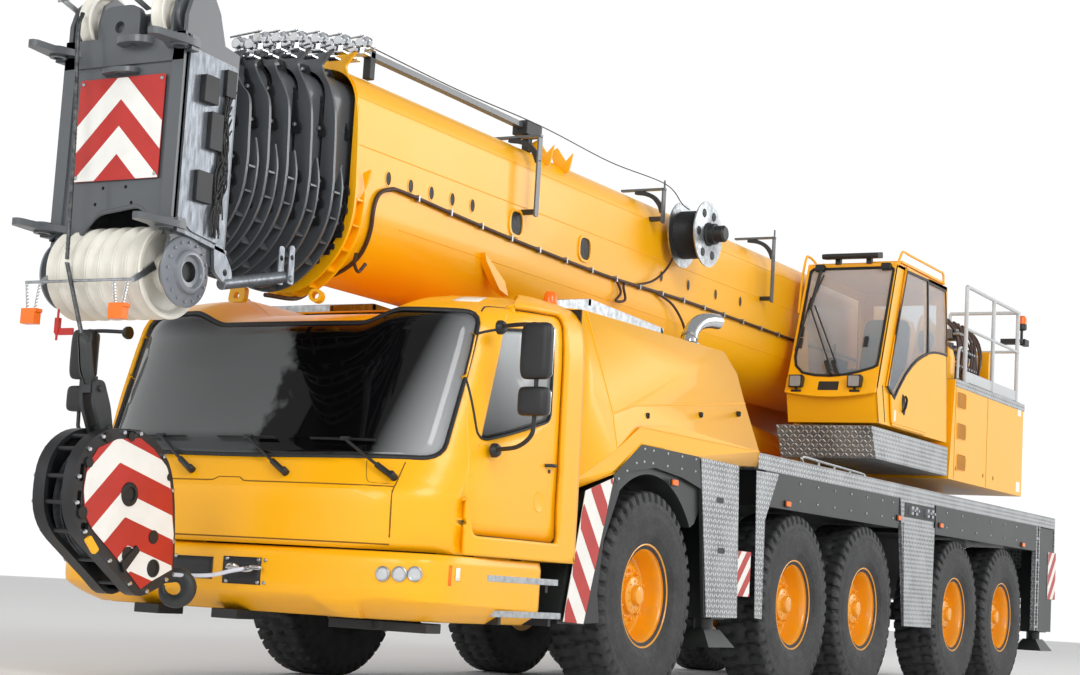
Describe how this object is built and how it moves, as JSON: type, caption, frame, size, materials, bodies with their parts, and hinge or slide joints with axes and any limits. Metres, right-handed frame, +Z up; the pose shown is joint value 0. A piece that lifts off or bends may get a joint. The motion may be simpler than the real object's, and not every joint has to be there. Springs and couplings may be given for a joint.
{
  "type": "mobile crane",
  "caption": "Road-going telescopic crane with slewing upper works, luffing boom, outriggers, steered axles, opening cab doors and a hook block drawn back to the bumper.",
  "frame": {"origin": "middle of the length and width, on the ground under the tyres", "axes": "+X forward along the boom, +Y to the driver's left, +Z up"},
  "size_m": [15.315, 3.86, 4.1198],
  "materials": {
    "yellow_paint": "gloss yellow paint",
    "grey_paint": "satin dark grey paint",
    "carrier_dark": "satin green-black paint",
    "tread_plate": "five-bar tread plate",
    "tinted_glass": "tinted",
    "tyre_rubber": "matt rubber",
    "sheave_plastic": "cast nylon",
    "black_plastic": "grained",
    "seat_cloth": "woven",
    "engine_iron": "painted casting",
    "rod_chrome": "ground and plated",
    "hook_red_white": "striped gloss paint"
  },
  "bodies": {
    "carrier": {"chassis_frame": "carrier_dark", "axle_beams": "carrier_dark", "side_covers": "carrier_dark", "tread_plates": "tread_plate", "front_bumper": "yellow_paint", "cab_shell": "yellow_paint", "cab_glass": "tinted_glass", "cab_interior": "black_plastic", "engine_hood": "yellow_paint", "engine_block": "engine_iron"},
    "knuckle_left_1": {"knuckle_left_1": "carrier_dark"},
    "wheel_left_1": {"wheel_left_1": "tyre_rubber"},
    "knuckle_right_1": {"knuckle_right_1": "carrier_dark"},
    "wheel_right_1": {"wheel_right_1": "tyre_rubber"},
    "knuckle_left_2": {"knuckle_left_2": "carrier_dark"},
    "wheel_left_2": {"wheel_left_2": "tyre_rubber"},
    "knuckle_right_2": {"knuckle_right_2": "carrier_dark"},
    "wheel_right_2": {"wheel_right_2": "tyre_rubber"},
    "wheel_left_3": {"wheel_left_3": "tyre_rubber"},
    "wheel_right_3": {"wheel_right_3": "tyre_rubber"},
    "knuckle_left_4": {"knuckle_left_4": "carrier_dark"},
    "wheel_left_4": {"wheel_left_4": "tyre_rubber"},
    "knuckle_right_4": {"knuckle_right_4": "carrier_dark"},
    "wheel_right_4": {"wheel_right_4": "tyre_rubber"},
    "knuckle_left_5": {"knuckle_left_5": "carrier_dark"},
    "wheel_left_5": {"wheel_left_5": "tyre_rubber"},
    "knuckle_right_5": {"knuckle_right_5": "carrier_dark"},
    "wheel_right_5": {"wheel_right_5": "tyre_rubber"},
    "door_left": {"door_left": "yellow_paint"},
    "door_right": {"door_right": "yellow_paint"},
    "outrigger_beam_left_front": {"outrigger_beam_left_front": "carrier_dark"},
    "outrigger_jack_left_front": {"outrigger_jack_left_front": "carrier_dark"},
    "outrigger_beam_right_front": {"outrigger_beam_right_front": "carrier_dark"},
    "outrigger_jack_right_front": {"outrigger_jack_right_front": "carrier_dark"},
    "outrigger_beam_left_rear": {"outrigger_beam_left_rear": "carrier_dark"},
    "outrigger_jack_left_rear": {"outrigger_jack_left_rear": "carrier_dark"},
    "outrigger_beam_right_rear": {"outrigger_beam_right_rear": "carrier_dark"},
    "outrigger_jack_right_rear": {"outrigger_jack_right_rear": "carrier_dark"},
    "upper": {"turntable_frame": "yellow_paint", "rear_cabinet": "yellow_paint", "walkway_rail": "tread_plate"},
    "winch": {"winch_drum": "grey_paint"},
    "crane_cab": {"operator_cab_shell": "yellow_paint", "operator_cab_glass": "tinted_glass", "operator_seat": "seat_cloth"},
    "crane_cab_door": {"operator_door": "yellow_paint"},
    "boom": {"boom_base": "yellow_paint"},
    "section_2": {"boom_section_2": "grey_paint"},
    "section_3": {"boom_section_3": "grey_paint"},
    "section_4": {"boom_section_4": "grey_paint"},
    "section_5": {"boom_section_5": "grey_paint"},
    "section_6": {"boom_section_6": "grey_paint"},
    "section_7": {"boom_section_7": "grey_paint", "boom_head": "grey_paint"},
    "sheave_pack": {"head_sheaves": "sheave_plastic"},
    "falls": {"rope_falls": "grey_paint"},
    "hook": {"hook_block": "hook_red_white"},
    "luff_barrel": {"luff_barrel": "yellow_paint"},
    "luff_rod": {"luff_rod": "rod_chrome"}
  },
  "joints": [
    {"name": "steer_left_1", "type": "hinge", "parent": "carrier", "child": "knuckle_left_1", "pos_m": [3.05, 1.135, 0.745], "axis": [0, 0, 1], "range_deg": [-38, 38]},
    {"name": "roll_left_1", "type": "hinge", "parent": "knuckle_left_1", "child": "wheel_left_1", "pos_m": [3.05, 1.285, 0.745], "axis": [0, 1, 0], "continuous": true},
    {"name": "steer_right_1", "type": "hinge", "parent": "carrier", "child": "knuckle_right_1", "pos_m": [3.05, -1.135, 0.745], "axis": [0, 0, 1], "range_deg": [-38.01, 38.01]},
    {"name": "roll_right_1", "type": "hinge", "parent": "knuckle_right_1", "child": "wheel_right_1", "pos_m": [3.05, -1.285, 0.745], "axis": [0, 1, 0], "continuous": true},
    {"name": "steer_left_2", "type": "hinge", "parent": "carrier", "child": "knuckle_left_2", "pos_m": [0.27, 1.135, 0.745], "axis": [0, 0, 1], "range_deg": [-28.01, 28.01]},
    {"name": "roll_left_2", "type": "hinge", "parent": "knuckle_left_2", "child": "wheel_left_2", "pos_m": [0.27, 1.285, 0.745], "axis": [0, 1, 0], "continuous": true},
    {"name": "steer_right_2", "type": "hinge", "parent": "carrier", "child": "knuckle_right_2", "pos_m": [0.27, -1.135, 0.745], "axis": [0, 0, 1], "range_deg": [-28.01, 28.01]},
    {"name": "roll_right_2", "type": "hinge", "parent": "knuckle_right_2", "child": "wheel_right_2", "pos_m": [0.27, -1.285, 0.745], "axis": [0, 1, 0], "continuous": true},
    {"name": "roll_left_3", "type": "hinge", "parent": "carrier", "child": "wheel_left_3", "pos_m": [-1.38, 1.285, 0.745], "axis": [0, 1, 0], "continuous": true},
    {"name": "roll_right_3", "type": "hinge", "parent": "carrier", "child": "wheel_right_3", "pos_m": [-1.38, -1.285, 0.745], "axis": [0, 1, 0], "continuous": true},
    {"name": "steer_left_4", "type": "hinge", "parent": "carrier", "child": "knuckle_left_4", "pos_m": [-4.02, 1.135, 0.745], "axis": [0, 0, 1], "range_deg": [-15.01, 15.01]},
    {"name": "roll_left_4", "type": "hinge", "parent": "knuckle_left_4", "child": "wheel_left_4", "pos_m": [-4.02, 1.285, 0.745], "axis": [0, 1, 0], "continuous": true},
    {"name": "steer_right_4", "type": "hinge", "parent": "carrier", "child": "knuckle_right_4", "pos_m": [-4.02, -1.135, 0.745], "axis": [0, 0, 1], "range_deg": [-15.01, 15.01]},
    {"name": "roll_right_4", "type": "hinge", "parent": "knuckle_right_4", "child": "wheel_right_4", "pos_m": [-4.02, -1.285, 0.745], "axis": [0, 1, 0], "continuous": true},
    {"name": "steer_left_5", "type": "hinge", "parent": "carrier", "child": "knuckle_left_5", "pos_m": [-5.67, 1.135, 0.745], "axis": [0, 0, 1], "range_deg": [-25.01, 25.01]},
    {"name": "roll_left_5", "type": "hinge", "parent": "knuckle_left_5", "child": "wheel_left_5", "pos_m": [-5.67, 1.285, 0.745], "axis": [0, 1, 0], "continuous": true},
    {"name": "steer_right_5", "type": "hinge", "parent": "carrier", "child": "knuckle_right_5", "pos_m": [-5.67, -1.135, 0.745], "axis": [0, 0, 1], "range_deg": [-25.01, 25.01]},
    {"name": "roll_right_5", "type": "hinge", "parent": "knuckle_right_5", "child": "wheel_right_5", "pos_m": [-5.67, -1.285, 0.745], "axis": [0, 1, 0], "continuous": true},
    {"name": "door_left_swing", "type": "hinge", "parent": "carrier", "child": "door_left", "pos_m": [5.524, 1.524, 1.7], "axis": [0, 0, -1], "range_deg": [0, 75]},
    {"name": "door_right_swing", "type": "hinge", "parent": "carrier", "child": "door_right", "pos_m": [5.524, -1.524, 1.7], "axis": [0, 0, 1], "range_deg": [0, 75]},
    {"name": "outrigger_beam_left_front_slide", "type": "slide", "parent": "carrier", "child": "outrigger_beam_left_front", "axis": [0, 1, 0], "range_m": [0, 2.1]},
    {"name": "outrigger_jack_left_front_slide", "type": "slide", "parent": "outrigger_beam_left_front", "child": "outrigger_jack_left_front", "axis": [0, 0, -1], "range_m": [0, 0.6]},
    {"name": "outrigger_beam_right_front_slide", "type": "slide", "parent": "carrier", "child": "outrigger_beam_right_front", "axis": [0, -1, 0], "range_m": [0, 2.1]},
    {"name": "outrigger_jack_right_front_slide", "type": "slide", "parent": "outrigger_beam_right_front", "child": "outrigger_jack_right_front", "axis": [0, 0, -1], "range_m": [0, 0.6]},
    {"name": "outrigger_beam_left_rear_slide", "type": "slide", "parent": "carrier", "child": "outrigger_beam_left_rear", "axis": [0, 1, 0], "range_m": [0, 2.1]},
    {"name": "outrigger_jack_left_rear_slide", "type": "slide", "parent": "outrigger_beam_left_rear", "child": "outrigger_jack_left_rear", "axis": [0, 0, -1], "range_m": [0, 0.6]},
    {"name": "outrigger_beam_right_rear_slide", "type": "slide", "parent": "carrier", "child": "outrigger_beam_right_rear", "axis": [0, -1, 0], "range_m": [0, 2.1]},
    {"name": "outrigger_jack_right_rear_slide", "type": "slide", "parent": "outrigger_beam_right_rear", "child": "outrigger_jack_right_rear", "axis": [0, 0, -1], "range_m": [0, 0.6]},
    {"name": "slew", "type": "hinge", "parent": "carrier", "child": "upper", "pos_m": [-2.7, 0, 2], "axis": [0, 0, 1], "continuous": true},
    {"name": "winch_spin", "type": "hinge", "parent": "upper", "child": "winch", "pos_m": [-5.98, 0, 2.4403], "axis": [0, 1, 0], "continuous": true},
    {"name": "crane_cab_tilt", "type": "hinge", "parent": "upper", "child": "crane_cab", "pos_m": [-3.522, 1, 2.442], "axis": [0, -1, 0], "range_deg": [0, 20]},
    {"name": "crane_cab_door_slide", "type": "slide", "parent": "crane_cab", "child": "crane_cab_door", "axis": [-1, 0, 0], "range_m": [0, 0.56]},
    {"name": "luff", "type": "hinge", "parent": "upper", "child": "boom", "pos_m": [-5.25, 0, 3.35], "axis": [0, -1, 0], "range_deg": [0, 82]},
    {"name": "telescope_2", "type": "slide", "parent": "boom", "child": "section_2", "axis": [1, 0, 0], "range_m": [0, 9.5]},
    {"name": "telescope_3", "type": "slide", "parent": "section_2", "child": "section_3", "axis": [1, 0, 0], "range_m": [0, 9.501]},
    {"name": "telescope_4", "type": "slide", "parent": "section_3", "child": "section_4", "axis": [1, 0, 0], "range_m": [0, 9.501]},
    {"name": "telescope_5", "type": "slide", "parent": "section_4", "child": "section_5", "axis": [1, 0, 0], "range_m": [0, 9.501]},
    {"name": "telescope_6", "type": "slide", "parent": "section_5", "child": "section_6", "axis": [1, 0, 0], "range_m": [0, 9.501]},
    {"name": "telescope_7", "type": "slide", "parent": "section_6", "child": "section_7", "axis": [1, 0, 0], "range_m": [0, 9.501]},
    {"name": "sheave_pack_spin", "type": "hinge", "parent": "section_7", "child": "sheave_pack", "pos_m": [7.13, 0, 2.42], "axis": [0, 1, 0], "continuous": true},
    {"name": "falls_swing", "type": "hinge", "parent": "section_7", "child": "falls", "pos_m": [7.13, 0, 2.42], "axis": [0, -1, 0], "range_deg": [-75.04, 0]},
    {"name": "hook_swing", "type": "hinge", "parent": "falls", "child": "hook", "pos_m": [7.25, 0, 1.48], "axis": [0, -1, 0], "range_deg": [0, 49.02]},
    {"name": "luff_barrel_pivot", "type": "hinge", "parent": "upper", "child": "luff_barrel", "pos_m": [-2.9, 0, 2.23], "axis": [0, -1, 0], "range_deg": [0, 90.86]},
    {"name": "luff_rod_slide", "type": "slide", "parent": "luff_barrel", "child": "luff_rod", "axis": [0.9969, 0, 0.0792], "range_m": [0, 3.318]}
  ],
  "couplings": [
    {"joint": "steer_right_1", "follows": "steer_left_1", "ratio": 1},
    {"joint": "steer_left_2", "follows": "steer_left_1", "ratio": 0.73684},
    {"joint": "steer_right_2", "follows": "steer_left_1", "ratio": 0.73684},
    {"joint": "steer_left_4", "follows": "steer_left_1", "ratio": -0.39474},
    {"joint": "steer_right_4", "follows": "steer_left_1", "ratio": -0.39474},
    {"joint": "steer_left_5", "follows": "steer_left_1", "ratio": -0.65789},
    {"joint": "steer_right_5", "follows": "steer_left_1", "ratio": -0.65789},
    {"joint": "telescope_3", "follows": "telescope_2", "ratio": 1},
    {"joint": "telescope_4", "follows": "telescope_2", "ratio": 1},
    {"joint": "telescope_5", "follows": "telescope_2", "ratio": 1},
    {"joint": "telescope_6", "follows": "telescope_2", "ratio": 1},
    {"joint": "telescope_7", "follows": "telescope_2", "ratio": 1},
    {"joint": "falls_swing", "follows": "luff", "ratio": -0.915},
    {"joint": "hook_swing", "follows": "luff", "ratio": 0.5976},
    {"joint": "luff_barrel_pivot", "follows": "luff", "ratio": 1.1078},
    {"joint": "luff_rod_slide", "follows": "luff", "m_per_rad": 2.317}
  ]
}
